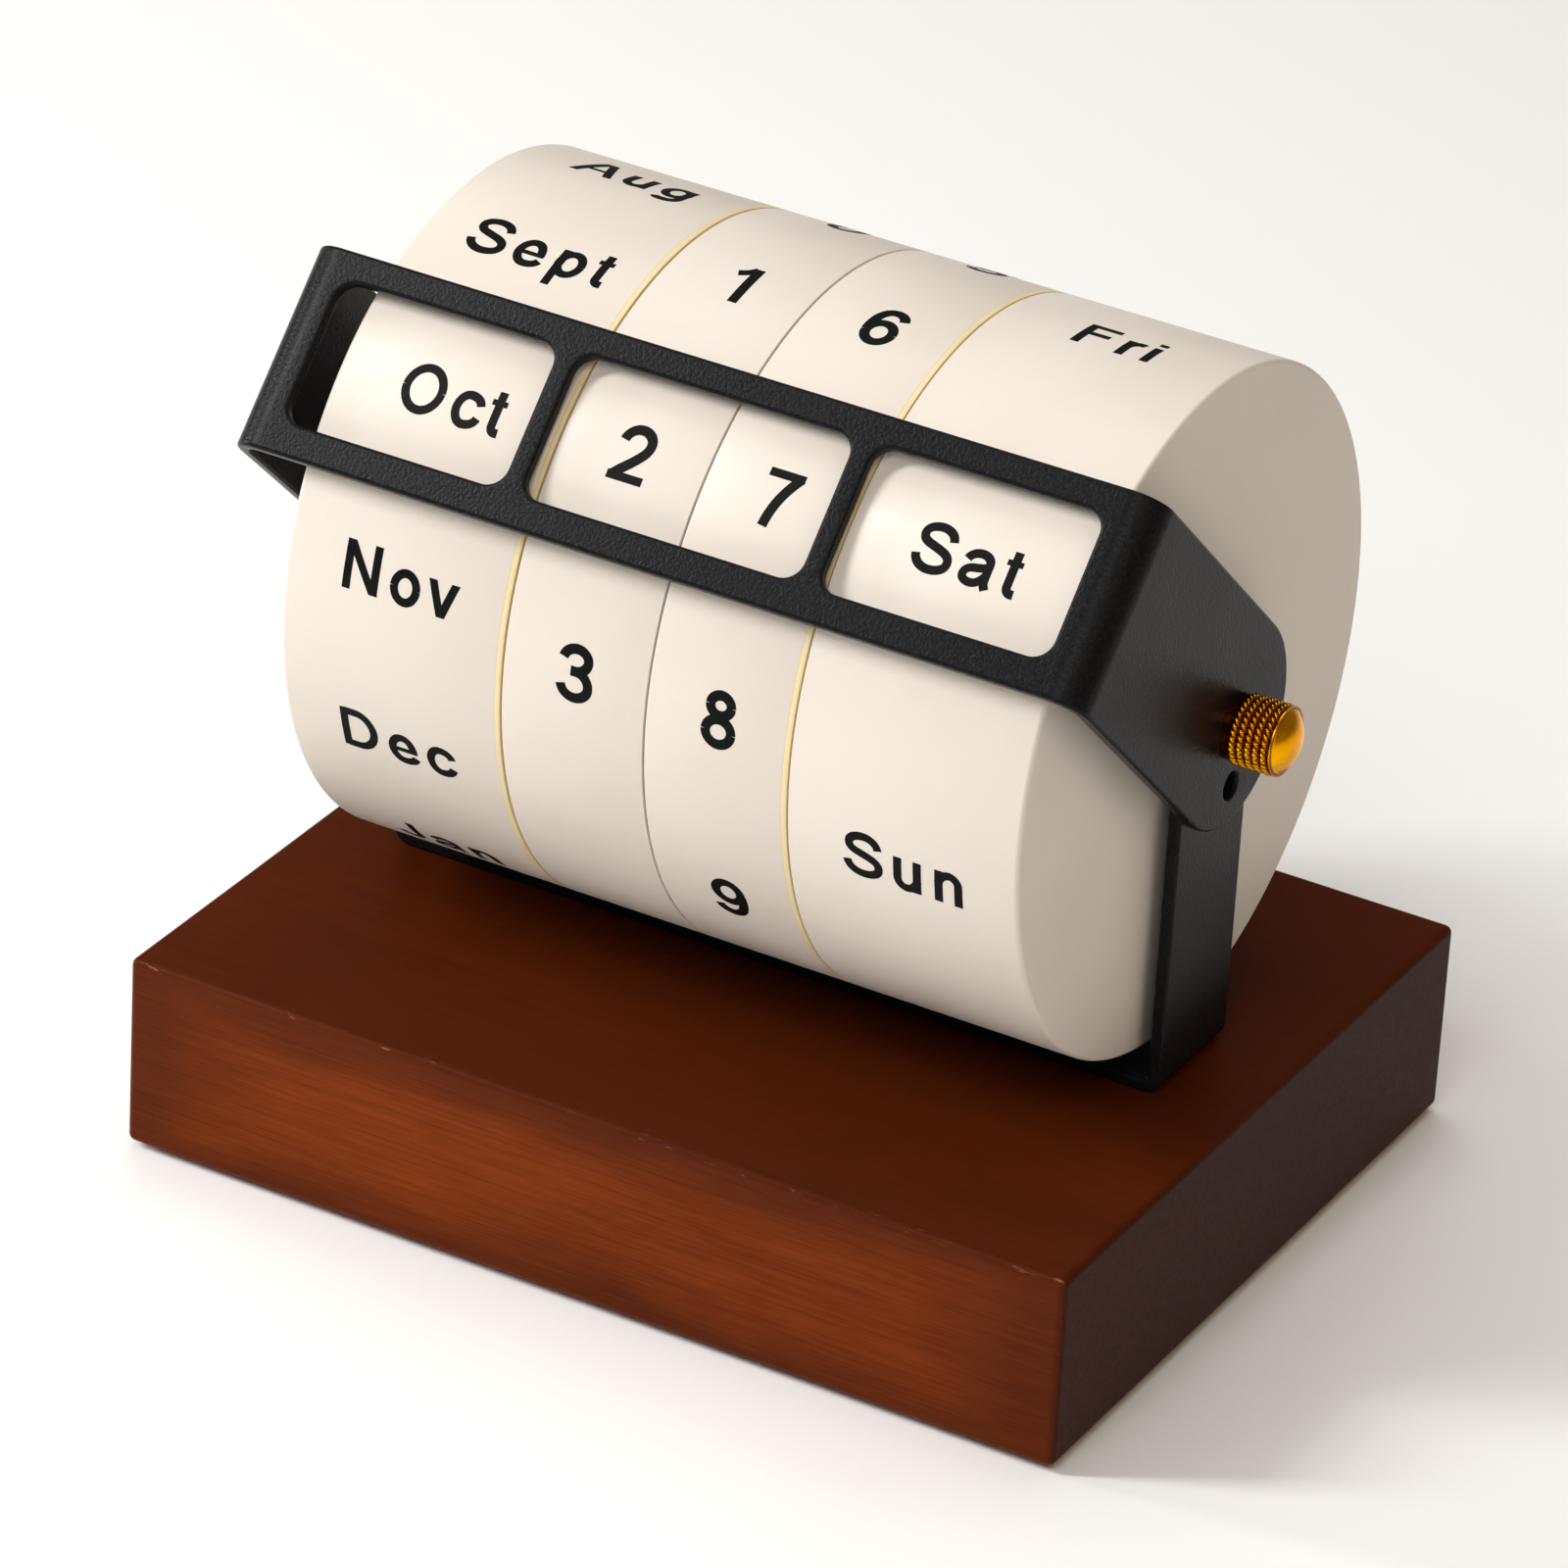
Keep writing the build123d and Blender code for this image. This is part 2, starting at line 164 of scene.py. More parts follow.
class Paint:
    """A Principled material with short calls for its procedural nodes."""

    def __init__(self, name, **values):
        self.material = bpy.data.materials.new(name)
        self.material.use_nodes = True
        self.nodes = self.material.node_tree.nodes
        self.links = self.material.node_tree.links
        self.shader = self.nodes["Principled BSDF"]
        for key, value in values.items():
            socket = key.replace("_", " ").title().replace("Ior", "IOR")
            self.shader.inputs[socket].default_value = value
        self.place = self.nodes.new("ShaderNodeTexCoord").outputs["Object"]

    def feed(self, socket, value):
        if isinstance(value, bpy.types.NodeSocket):
            self.links.new(value, socket)
        else:
            socket.default_value = value

    def stretch(self, texture, scale):
        """Lays a texture on the object, its features 1 / scale metres long on each axis."""
        node = self.nodes.new("ShaderNodeMapping")
        self.links.new(self.place, node.inputs["Vector"])
        node.inputs["Scale"].default_value = scale
        self.links.new(node.outputs["Vector"], texture.inputs["Vector"])
        texture.inputs["Scale"].default_value = 1.0

    def noise(self, scale, detail=3.0, roughness=0.55, distortion=0.0):
        node = self.nodes.new("ShaderNodeTexNoise")
        self.stretch(node, scale)
        node.inputs["Detail"].default_value = detail
        node.inputs["Roughness"].default_value = roughness
        node.inputs["Distortion"].default_value = distortion
        return node.outputs["Fac"]

    def cells(self, scale):
        node = self.nodes.new("ShaderNodeTexVoronoi")
        self.stretch(node, scale)
        return node.outputs["Distance"]

    def math(self, operation, a, b=0.0):
        node = self.nodes.new("ShaderNodeMath")
        node.operation = operation
        self.feed(node.inputs[0], a)
        self.feed(node.inputs[1], b)
        return node.outputs[0]

    def ramp(self, value, low, high, start=0.0, end=1.0):
        """Straight change from start to end while value goes from low to high."""
        node = self.nodes.new("ShaderNodeMapRange")
        self.feed(node.inputs["Value"], value)
        node.inputs["From Min"].default_value = low
        node.inputs["From Max"].default_value = high
        node.inputs["To Min"].default_value = start
        node.inputs["To Max"].default_value = end
        return node.outputs["Result"]

    def mix(self, factor, a, b):
        node = self.nodes.new("ShaderNodeMix")
        node.data_type = "RGBA"
        self.feed(node.inputs["Factor"], factor)
        self.feed(node.inputs[COLOUR_A], a)
        self.feed(node.inputs[COLOUR_B], b)
        return node.outputs[COLOUR_OUT]

    def axes(self, vector):
        node = self.nodes.new("ShaderNodeSeparateXYZ")
        self.links.new(vector, node.inputs[0])
        return node.outputs

    def colour(self, value):
        self.links.new(value, self.shader.inputs["Base Color"])

    def rough(self, value):
        self.links.new(value, self.shader.inputs["Roughness"])

    def bump(self, height, distance):
        """Bump of the given height in metres."""
        node = self.nodes.new("ShaderNodeBump")
        node.inputs["Distance"].default_value = distance
        node.inputs["Strength"].default_value = 1.0
        self.links.new(height, node.inputs["Height"])
        self.links.new(node.outputs["Normal"], self.shader.inputs["Normal"])


def rgb(red, green, blue):
    """Linear colour from display values of 0 to 255."""
    def linear(v):
        v /= 255
        return v / 12.92 if v <= 0.04045 else ((v + 0.055) / 1.055) ** 2.4
    return (linear(red), linear(green), linear(blue), 1.0)


def wood_material():
    low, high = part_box("wood_base")
    centre = (low + high) / 2
    half = (high - low) / 2
    p = Paint("walnut_lacquer", specular_ior_level=0.05)
    streaks = p.noise((60, 1500, 1500), 5.0, 0.6, 0.4)
    fine = p.noise((120, 4200, 4200), 3.0, 0.7)
    clouds = p.noise((14, 30, 40), 3.0, 0.55, 0.6)
    pores = p.cells((160, 2600, 2600))
    ends = p.noise((900, 900, 2200), 4.0, 0.6)
    normal = p.nodes.new("ShaderNodeNewGeometry").outputs["Normal"]
    local = p.nodes.new("ShaderNodeVectorTransform")
    local.vector_type = "NORMAL"
    local.convert_from = "WORLD"
    local.convert_to = "OBJECT"
    p.links.new(normal, local.inputs[0])
    facing = p.axes(local.outputs[0])
    end_grain = p.ramp(p.math("ABSOLUTE", facing[0]), 0.5, 0.9)
    front = p.ramp(p.math("MULTIPLY", facing[1], -1.0), 0.3, 0.9)
    painted_top_shade = p.ramp(facing[2], 0.3, 0.9)

    stain = p.mix(p.ramp(streaks, 0.25, 0.75), rgb(96, 35, 4), rgb(128, 54, 11))
    stain = p.mix(p.ramp(clouds, 0.38, 0.68, 0.0, 0.7), stain, rgb(88, 32, 7))
    stain = p.mix(p.ramp(fine, 0.35, 0.75, 0.0, 0.3), stain, rgb(156, 76, 28))
    # End grain: darker than the long faces, as real end grain is, and darkened further as painted shade
    # on the block's ends.
    end_grain_and_shade_stain = p.mix(p.ramp(ends, 0.3, 0.7), rgb(50, 22, 12), rgb(66, 31, 19))
    stain = p.mix(end_grain, stain, end_grain_and_shade_stain)
    # Painted shade: faces turned up are mixed towards dark brown, so the block's top is darker than its
    # front.
    stain = p.mix(p.math("MULTIPLY", painted_top_shade, 0.72), stain, rgb(54, 16, 3))
    pore_mask = p.math("MULTIPLY", p.ramp(pores, 0.06, 0.0), p.ramp(clouds, 0.45, 0.65))
    stain = p.mix(p.math("MULTIPLY", pore_mask, 0.5), stain, rgb(48, 18, 8))

    place = p.axes(p.place)
    depth = []
    for axis in range(3):
        offset = p.math("ABSOLUTE", p.math("SUBTRACT", place[axis], centre[axis]))
        depth.append(p.math("SUBTRACT", half[axis], offset))
    ragged = p.noise((60, 60, 60), 2.0, 0.5)
    from_side = p.math("ADD", depth[0], p.math("MULTIPLY", ragged, -0.012))
    border_x = p.ramp(from_side, 0.0, 0.018, 1.0, 0.0)
    from_top = p.math("ADD", depth[2], p.math("MULTIPLY", ragged, -0.006))
    border_z = p.ramp(from_top, -0.001, 0.006, 1.0, 0.0)
    border = p.math("MAXIMUM", border_x, border_z)
    stain = p.mix(p.math("MULTIPLY", p.math("MULTIPLY", border, front), 0.55), stain, rgb(52, 18, 8))

    near_front = p.ramp(depth[1], 0.0002, 0.0009, 1.0, 0.0)
    near_top = p.ramp(depth[2], 0.0002, 0.0010, 1.0, 0.0)
    upper = p.ramp(p.math("SUBTRACT", place[2], centre[2]), 0.0, 0.001)
    forward = p.ramp(p.math("SUBTRACT", centre[1], place[1]), 0.0, 0.001)
    near_edge = p.math("MULTIPLY", near_front, near_top)
    worn_edge = p.math("MULTIPLY", near_edge, p.math("MULTIPLY", upper, forward))
    scuffs = p.noise((260, 1800, 1800), 3.0, 0.65)
    worn = p.math("MULTIPLY", worn_edge, p.ramp(scuffs, 0.62, 0.7))
    stain = p.mix(p.math("MULTIPLY", worn, 0.75), stain, rgb(196, 140, 104))
    p.colour(stain)
    p.rough(p.ramp(streaks, 0.2, 0.8, 0.36, 0.5))
    relief = p.math("ADD", p.math("MULTIPLY", streaks, 0.6), p.math("MULTIPLY", fine, 0.4))
    p.bump(p.math("SUBTRACT", relief, p.math("MULTIPLY", pore_mask, 0.8)), 0.00003)
    return p.material


def powder_material():
    p = Paint("black_powder_coat", ior=1.18)
    grain = p.noise((1900, 1900, 1900), 3.0, 0.6)
    cloud = p.noise((60, 60, 60), 2.0, 0.5)
    tone = p.mix(p.ramp(grain, 0.3, 0.7), rgb(15, 15, 17), rgb(28, 28, 30))
    dust = p.ramp(p.cells((420, 420, 420)), 0.045, 0.02)
    rare = p.ramp(p.noise((230, 230, 230), 1.0, 0.5), 0.62, 0.66)
    specks = p.math("MULTIPLY", p.math("MULTIPLY", dust, rare), 0.35)
    p.colour(p.mix(specks, tone, rgb(110, 108, 106)))
    gloss = p.ramp(cloud, 0.3, 0.7, 0.25, 0.3)
    p.rough(p.math("ADD", gloss, p.ramp(grain, 0.3, 0.7, 0.0, 0.05)))
    p.bump(grain, 0.00007)
    return p.material


def ivory_material():
    p = Paint("ivory_drum", specular_ior_level=0.4, coat_weight=0.08, coat_roughness=0.15)
    cloud = p.noise((35, 35, 35), 3.0, 0.5)
    peel = p.noise((700, 700, 700), 2.0, 0.5)
    speck = p.ramp(p.cells((300, 300, 300)), 0.03, 0.015)
    tone = p.mix(p.ramp(cloud, 0.3, 0.7), rgb(227, 217, 206), rgb(232, 223, 213))
    p.colour(p.mix(p.math("MULTIPLY", speck, 0.12), tone, rgb(170, 150, 120)))
    p.rough(p.ramp(cloud, 0.3, 0.7, 0.4, 0.47))
    p.bump(peel, 0.000006)
    return p.material


def cream_material():
    p = Paint("cream_cap", specular_ior_level=0.5)
    cloud = p.noise((90, 90, 90), 3.0, 0.5)
    p.colour(p.mix(p.ramp(cloud, 0.3, 0.7), rgb(232, 212, 160), rgb(238, 220, 174)))
    p.rough(p.ramp(cloud, 0.3, 0.7, 0.32, 0.42))
    p.bump(p.noise((900, 900, 900)), 0.000008)
    return p.material


def ink_material():
    p = Paint("black_ink", specular_ior_level=0.08)
    cloud = p.noise((1500, 1500, 1500), 2.0, 0.5)
    p.colour(p.mix(p.ramp(cloud, 0.3, 0.7), rgb(8, 9, 11), rgb(15, 17, 19)))
    p.rough(p.ramp(cloud, 0.3, 0.7, 0.42, 0.55))
    p.bump(cloud, 0.000004)
    return p.material


def brass_material():
    p = Paint("amber_brass", metallic=1.0)
    centre = (AXLE.y * MM, AXLE.z * MM)
    place = p.axes(p.place)
    across = p.math("SUBTRACT", place[1], centre[0])
    above = p.math("SUBTRACT", place[2], centre[1])
    squares = p.math("ADD", p.math("MULTIPLY", across, across), p.math("MULTIPLY", above, above))
    radius = p.math("SQRT", squares)
    # Painted shade: a band at the depth of the knurl grooves is coloured dark brown; the crests, the
    # dome and the bore keep the metal's colour.
    groove = KNOB_RADIUS - KNURL_DEPTH
    crest = p.ramp(radius, (groove + 0.15) * MM, (KNOB_RADIUS - 0.05) * MM)
    inner = p.ramp(radius, (groove - 0.25) * MM, (groove - 0.1) * MM, 1.0, 0.0)
    clear_of_groove_shade = p.math("MAXIMUM", crest, inner)
    tarnish = p.noise((500, 500, 500), 3.0, 0.6)
    metal = p.mix(p.ramp(tarnish, 0.3, 0.7), rgb(250, 160, 0), rgb(255, 184, 0))
    p.colour(p.mix(clear_of_groove_shade, rgb(118, 52, 8), metal))
    p.rough(p.ramp(tarnish, 0.3, 0.7, 0.2, 0.3))
    p.bump(p.noise((3000, 3000, 3000)), 0.000006)
    return p.material


def steel_material():
    p = Paint("zinc_steel", metallic=1.0)
    rings = p.noise((3500, 250, 250), 3.0, 0.6)
    p.colour(p.mix(p.ramp(rings, 0.3, 0.7), rgb(176, 176, 172), rgb(208, 208, 205)))
    p.rough(p.ramp(rings, 0.3, 0.7, 0.22, 0.38))
    p.bump(rings, 0.00001)
    return p.material


def nylon_material():
    p = Paint("nylon", specular_ior_level=0.4)
    cloud = p.noise((260, 260, 260), 3.0, 0.55)
    p.colour(p.mix(p.ramp(cloud, 0.3, 0.7), rgb(226, 222, 212), rgb(240, 237, 228)))
    p.rough(p.ramp(cloud, 0.3, 0.7, 0.45, 0.6))
    p.bump(p.noise((1800, 1800, 1800)), 0.00001)
    return p.material


def felt_material():
    p = Paint("black_felt", roughness=0.95, specular_ior_level=0.1,
              sheen_weight=0.4, sheen_roughness=0.5)
    fibres = p.noise((2400, 2400, 2400), 5.0, 0.75, 1.5)
    tufts = p.noise((350, 350, 350), 3.0, 0.6)
    tone = p.mix(p.ramp(fibres, 0.3, 0.7), rgb(22, 22, 23), rgb(58, 57, 58))
    p.colour(p.mix(p.ramp(tufts, 0.35, 0.65, 0.0, 0.4), tone, rgb(34, 33, 34)))
    p.bump(fibres, 0.00015)
    return p.material


wood = wood_material()
powder = powder_material()
ivory = ivory_material()
cream = cream_material()
ink = ink_material()
brass = brass_material()
steel = steel_material()
nylon = nylon_material()
felt = felt_material()


# ---------------------------------------------------------------- meshes
def finish_piece(name, bm, material, body, nodes=(), sharp=35.0):
    """Turns millimetres into metres, shades the mesh and tells the frame what the piece is."""
    bmesh.ops.remove_doubles(bm, verts=bm.verts, dist=MERGE)
    bmesh.ops.recalc_face_normals(bm, faces=bm.faces)
    bmesh.ops.scale(bm, vec=(MM, MM, MM), verts=bm.verts)
    mesh = bpy.data.meshes.new(name)
    bm.to_mesh(mesh)
    bm.free()
    mesh.materials.append(material)
    mesh.shade_smooth()
    mesh.set_sharp_from_angle(angle=math.radians(sharp))
    piece = bpy.data.objects.new(name, mesh)
    bpy.context.scene.collection.objects.link(piece)
    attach(piece, body)
    if nodes:
        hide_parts(*nodes)
    return piece


def weigh_normals(piece):
    """Keeps the large faces flat beside their rounded edges."""
    modifier = piece.modifiers.new("flat faces", "WEIGHTED_NORMAL")
    modifier.keep_sharp = True
    modifier.weight = 50


def lathe(profile, radius_at=None, segments=SEGMENTS):
    """Turned solid round the axle from a closed outline of (x, radius) points."""
    bm = bmesh.new()
    rings = []
    for k in range(segments):
        angle = TURN * k / segments
        ring = []
        for x, radius in profile:
            r = radius_at(x, radius, angle) if radius_at else radius
            ring.append(bm.verts.new((x, AXLE.y - r * math.cos(angle), AXLE.z + r * math.sin(angle))))
        rings.append(ring)
    for k in range(segments):
        here, there = rings[k], rings[(k + 1) % segments]
        for i in range(len(profile)):
            j = (i + 1) % len(profile)
            if profile[i][1] or profile[j][1]:
                bm.faces.new((here[i], here[j], there[j], there[i]))
    return bm


def arc(centre, radius, start, end, steps=6):
    """Points on a circular arc, with its angles in degrees."""
    points = []
    for k in range(steps + 1):
        a = math.radians(start + (end - start) * k / steps)
        points.append((centre[0] + radius * math.cos(a), centre[1] + radius * math.sin(a)))
    return points


def shell_profile(node, closed_edge):
    """Outline of a drum cup closed at its left: rim, web and rounded corners."""
    low, high = span(node)
    left, right = low.x, high.x
    rim = DRUM_RADIUS
    return (
        [(left, HUB_RADIUS)]
        + arc((left + closed_edge, rim - closed_edge), closed_edge, 180, 90)
        + arc((right - SMALL_EDGE, rim - SMALL_EDGE), SMALL_EDGE, 90, 0, 3)
        + [(right, rim - DRUM_WALL), (left + DRUM_WEB, rim - DRUM_WALL), (left + DRUM_WEB, HUB_RADIUS)]
    )


def mirrored(profile, node):
    """The same outline, turned end for end within its node."""
    low, high = span(node)
    return [(low.x + high.x - x, r) for x, r in profile]


def drum(name):
    """The shell of one drum."""
    node = name + "_drum_shell"
    profile = shell_profile(node, DRUM_EDGE if name in ("month", "weekday") else SEAM_EDGE)
    if name == "weekday":
        profile = mirrored(profile, node)
    finish_piece(name + "_drum_rim", lathe(profile), ivory, name + "_drum", [node])


def full_cap(name):
    """Disc as wide as the drum, with a spigot that sits inside the shell."""
    node = name + "_drum_cap"
    low, high = span(node)
    left, right = high.x - CAP_THICKNESS, high.x
    inner = DRUM_RADIUS - DRUM_WALL
    profile = (
        [(right, HUB_RADIUS)]
        + arc((right - SMALL_EDGE, DRUM_RADIUS - SMALL_EDGE), SMALL_EDGE, 0, 90, 3)
        + arc((left + SMALL_EDGE, DRUM_RADIUS - SMALL_EDGE), SMALL_EDGE, 90, 180, 3)
        + [(left, inner), (low.x, inner), (low.x, inner - CAP_SPIGOT_WALL)]
        + [(left, inner - CAP_SPIGOT_WALL), (left, HUB_RADIUS)]
    )
    finish_piece(name + "_drum_disc", lathe(profile), cream, name + "_drum", [node])


def block():
    """Wooden block: rounded edges, and faces that are not quite flat."""
    low, high = span("wood_base")
    bm = bmesh.new()
    bmesh.ops.create_cube(bm, size=1.0)
    bmesh.ops.scale(bm, vec=high - low, verts=bm.verts)
    bmesh.ops.translate(bm, vec=(low + high) / 2, verts=bm.verts)
    bmesh.ops.bevel(bm, geom=bm.edges[:], offset=BLOCK_EDGE, segments=5, profile=0.5, affect="EDGES")
    for axis in range(3):
        cells = round((high[axis] - low[axis]) / BLOCK_CELL)
        for k in range(1, cells):
            point = Vector((0, 0, 0))
            point[axis] = low[axis] + (high[axis] - low[axis]) * k / cells
            direction = Vector((0, 0, 0))
            direction[axis] = 1
            geometry = bm.verts[:] + bm.edges[:] + bm.faces[:]
            bmesh.ops.bisect_plane(bm, geom=geometry, plane_co=point, plane_no=direction)
    bm.normal_update()
    for vertex in bm.verts:
        wave = noise.noise(vertex.co / LONG_WAVE) * LONG_SHARE
        wave += noise.noise(vertex.co / SHORT_WAVE) * SHORT_SHARE
        vertex.co -= vertex.normal * BLOCK_SINK * (BLOCK_SINK_MEAN + wave)
    piece = finish_piece("wood_block", bm, wood, "stand", ["wood_base"], sharp=60)
    weigh_normals(piece)


def circle(centre, radius, steps=64):
    return arc(centre, radius, 0, 360, steps)[:-1]


def round_rectangle(centre, width, height, radius):
    """Anticlockwise outline of a rectangle with rounded corners."""
    x, y = width / 2 - radius, height / 2 - radius
    corners = [((x, y), 0), ((-x, y), 90), ((-x, -y), 180), ((x, -y), 270)]
    points = []
    for (cx, cy), start in corners:
        points += arc((centre[0] + cx, centre[1] + cy), radius, start, start + 90, 10)
    return points


def strip_outline(reach, half_height):
    """Long strip with round ends centred at -reach and reach."""
    right = arc((reach, 0), half_height, -90, 90, 48)
    left = arc((-reach, 0), half_height, 90, 270, 48)
    return right + left


def bent_sheet(loops, straight, bend, arm, place):
    """Sheet with rounded edges, cut flat and then bent to a U.

    The flat sheet lies along s, centred on the U. It is straight up to `straight`, then
    follows a bend of that mid radius, then runs back along the arm.
    """
    curve = bpy.data.curves.new("flat", "CURVE")
    curve.dimensions = "2D"
    curve.fill_mode = "BOTH"
    curve.extrude = SHEET / 2 - SHEET_EDGE
    curve.bevel_depth = SHEET_EDGE
    curve.bevel_resolution = 3
    curve.offset = -SHEET_EDGE
    for loop in loops:
        spline = curve.splines.new("POLY")
        spline.points.add(len(loop) - 1)
        for point, (s, v) in zip(spline.points, loop):
            point.co = (s, v, 0, 1)
        spline.use_cyclic_u = True
    flat = bpy.data.objects.new("flat", curve)
    bpy.context.scene.collection.objects.link(flat)
    bpy.context.view_layer.update()
    filled = flat.evaluated_get(bpy.context.evaluated_depsgraph_get())
    mesh = bpy.data.meshes.new_from_object(filled)
    bm = bmesh.new()
    bm.from_mesh(mesh)
    bpy.data.objects.remove(flat)
    bpy.data.curves.remove(curve)
    bpy.data.meshes.remove(mesh)
    bmesh.ops.remove_doubles(bm, verts=bm.verts, dist=CUT)

    quarter = bend * math.pi / 2
    steps = max(BEND_CUTS_LEAST, round(quarter / BEND_CUT))
    cuts = [straight + quarter * k / steps for k in range(steps + 1)]
    cuts += [straight * k / FRONT_CUTS for k in range(1, FRONT_CUTS)]
    cuts += [straight + quarter + arm * k / ARM_CUTS for k in range(1, ARM_CUTS + 1)]
    for cut in [0] + [side * c for c in cuts for side in (-1, 1)]:
        geometry = bm.verts[:] + bm.edges[:] + bm.faces[:]
        bmesh.ops.bisect_plane(bm, geom=geometry, plane_co=(cut, 0, 0), plane_no=(1, 0, 0), dist=CUT)
    for vertex in bm.verts:
        s, v, t = vertex.co
        side = -1 if s < 0 else 1
        along = abs(s)
        if along <= straight:
            x, depth, turn = along, 0.0, 0.0
        elif along <= straight + quarter:
            turn = (along - straight) / bend
            x, depth = straight + bend * math.sin(turn), bend * (1 - math.cos(turn))
        else:
            turn = math.pi / 2
            x, depth = straight + bend, bend + along - straight - quarter
        x += t * math.sin(turn)
        depth -= t * math.cos(turn)
        vertex.co = place(side * x, depth, v)
    return bm


def stand():
    """Strap bent up at both ends to carry the axle, with round post tops."""
    low, high = span("stand_bracket")
    half = (high.x - low.x) / 2 - SHEET / 2
    half_width = (high.y - low.y) / 2
    floor = low.z + SHEET / 2
    straight = half - STAND_BEND
    arm = AXLE.z - floor - STAND_BEND
    reach = straight + STAND_BEND * math.pi / 2 + arm
    loops = [strip_outline(reach, half_width)]
    loops += [circle((side * reach, 0), AXLE_HOLE) for side in (-1, 1)]
    loops += [circle((side * SCREW_SPACING / 2, 0), SCREW_HEAD_RADIUS) for side in (-1, 1)]

    def place(x, depth, v):
        return (x, AXLE.y + v, floor + depth)

    bm = bent_sheet(loops, straight, STAND_BEND, arm, place)
    nodes = ["stand_bracket"]
    weigh_normals(finish_piece("stand_strap", bm, powder, "stand", nodes))


def window_frame():
    """Sheet bent round the drums' ends, with three windows and a peep hole in each arm."""
    low, high = span("window_frame")
    centre = (low.x + high.x) / 2
    half = (high.x - low.x) / 2 - SHEET / 2
    forward = Vector((0, -math.cos(FRAME_TILT), math.sin(FRAME_TILT)))
    upward = Vector((0, math.sin(FRAME_TILT), math.cos(FRAME_TILT)))
    axle = Vector((0, AXLE.y, AXLE.z))
    reach_forward = DRUM_RADIUS + FRAME_GAP + SHEET / 2
    straight = half - FRAME_BEND
    arm = reach_forward - FRAME_BEND
    reach = straight + FRAME_BEND * math.pi / 2 + arm
    pitch = (DIGIT_WINDOW + WORD_WINDOW) / 2 + WINDOW_BAR
    loops = [strip_outline(reach, FRAME_HALF_HEIGHT)]
    for x, width in ((-pitch, WORD_WINDOW), (0, DIGIT_WINDOW), (pitch, WORD_WINDOW)):
        loops.append(round_rectangle((x, WINDOW_RAISE), width, WINDOW_HEIGHT, WINDOW_CORNER))
    peep = Vector((0, 0, -PEEP_HOLE_DROP))
    for side in (-1, 1):
        loops.append(circle((side * reach, 0), AXLE_HOLE))
        loops.append(circle((side * (reach - peep.dot(forward)), peep.dot(upward)), PEEP_HOLE, 40))

    def place(x, depth, v):
        return Vector((centre + x, 0, 0)) + axle + forward * (reach_forward - depth) + upward * v

    bm = bent_sheet(loops, straight, FRAME_BEND, arm, place)
    nodes = ["window_frame"]
    weigh_normals(finish_piece("date_frame", bm, powder, "frame", nodes))


def knob(side):
    """Nut with rings of slanted knurl beads, a polished dome and a blind bore."""
    node = "thumb_knob_" + side
    low, high = span(node)
    facing = 1 if side == "right" else -1
    root = low.x if facing > 0 else high.x
    groove = KNOB_RADIUS - KNURL_DEPTH
    grip_steps = KNURL_RINGS * RING_STEPS
    first, last = KNOB_COLLAR, KNOB_GRIP - KNOB_NECK
    profile = [(0, AXLE_HOLE), (0, groove)]
    for k in range(grip_steps + 1):
        profile.append((first + (last - first) * k / grip_steps, KNOB_RADIUS))
    profile += [(KNOB_GRIP - back, groove) for back in KNOB_NECK_FLOOR]
    profile += arc((KNOB_GRIP + KNOB_LIP_RUN, KNOB_RADIUS - KNOB_LIP_SET_IN), KNOB_LIP, 150, 60, 5)
    rise = KNOB_RADIUS - KNOB_DOME_INSET
    bulge = (rise**2 + KNOB_DOME**2) / (2 * KNOB_DOME)
    edge = math.asin(rise / bulge)
    for k in range(1, DOME_STEPS + 1):
        a = edge * (1 - k / DOME_STEPS)
        profile.append((KNOB_GRIP + KNOB_DOME - bulge * (1 - math.cos(a)), bulge * math.sin(a)))
    profile += [(KNOB_BORE_DEPTH, 0), (KNOB_BORE_DEPTH, AXLE_HOLE)]
    ring_length = (last - first) / KNURL_RINGS

    def radius_at(x, radius, angle):
        run = (x - root) * facing
        if radius < KNOB_RADIUS - TINY or not first - TINY <= run <= last + TINY:
            return radius
        ring = (run - first) / ring_length
        across = abs(math.sin(math.pi * ring)) ** 0.6
        bead = angle * KNURL_BEADS / TURN + facing * KNURL_SLANT * ring
        along = KNURL_VALLEY + (1 - KNURL_VALLEY) * abs(math.cos(math.pi * bead)) ** 0.8
        return radius - KNURL_DEPTH * (1 - across * along)

    placed = [(root + facing * x, r) for x, r in profile]
    bm = lathe(placed, radius_at, KNURL_BEADS * BEAD_STEPS)
    finish_piece("knurled_nut_" + side, bm, brass, "knob_" + side, [node], sharp=50)


# ---------------------------------------------------------------- lettering
# Letters are drawn with a cap height of 1. STEM and LEVEL are the widths of upright and
# level strokes, LOW is the height of the small letters and TAIL the depth of their tails.
# TOP, UPPER and UNDER are the middle lines of level strokes at the top of the capitals, at
# the top of the small letters and on the base line. ROUND is half the height of a small
# letter's bowl, and COMMON is the advance that most characters share. HANDLE is how far a
# curve keeps to its heading, as a share of the distance between its two nodes.
STEM = 0.178
LEVEL = 0.15
HALF = STEM / 2
LOW = 0.725
TAIL = -0.285
OVERSHOOT = 0.012
TOP = 1 - LEVEL / 2
UPPER = LOW + OVERSHOOT - LEVEL / 2
UNDER = LEVEL / 2 - OVERSHOOT
ROUND = LOW / 2 + OVERSHOOT
COMMON = 0.777
HANDLE = 0.38
CURVE_STEPS = 10
BOWL_INSET = 0.008


